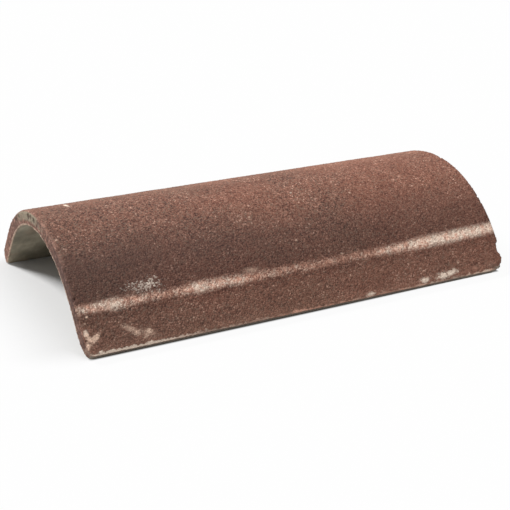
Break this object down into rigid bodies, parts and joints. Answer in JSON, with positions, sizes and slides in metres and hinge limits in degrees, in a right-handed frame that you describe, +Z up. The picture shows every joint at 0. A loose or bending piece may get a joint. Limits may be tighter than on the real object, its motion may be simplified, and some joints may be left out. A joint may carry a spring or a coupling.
{
  "type": "round ridge tile",
  "caption": "Round concrete ridge tile: a low arch with straight skirts and square-cut feet, open at both ends, with a granular red-brown face.",
  "frame": {"origin": "on the floor under the middle of the tile, midway between its ends and between its feet", "axes": "+X along the tile, +Y across it towards the back foot, +Z up through the crown; the worn foot corners are on the -Y side"},
  "size_m": [0.45, 0.2608, 0.0916],
  "materials": {
    "granular_concrete": "rough granular face, plain smooth concrete underneath"
  },
  "bodies": {
    "root": {"ridge_tile": "granular_concrete"}
  },
  "joints": []
}
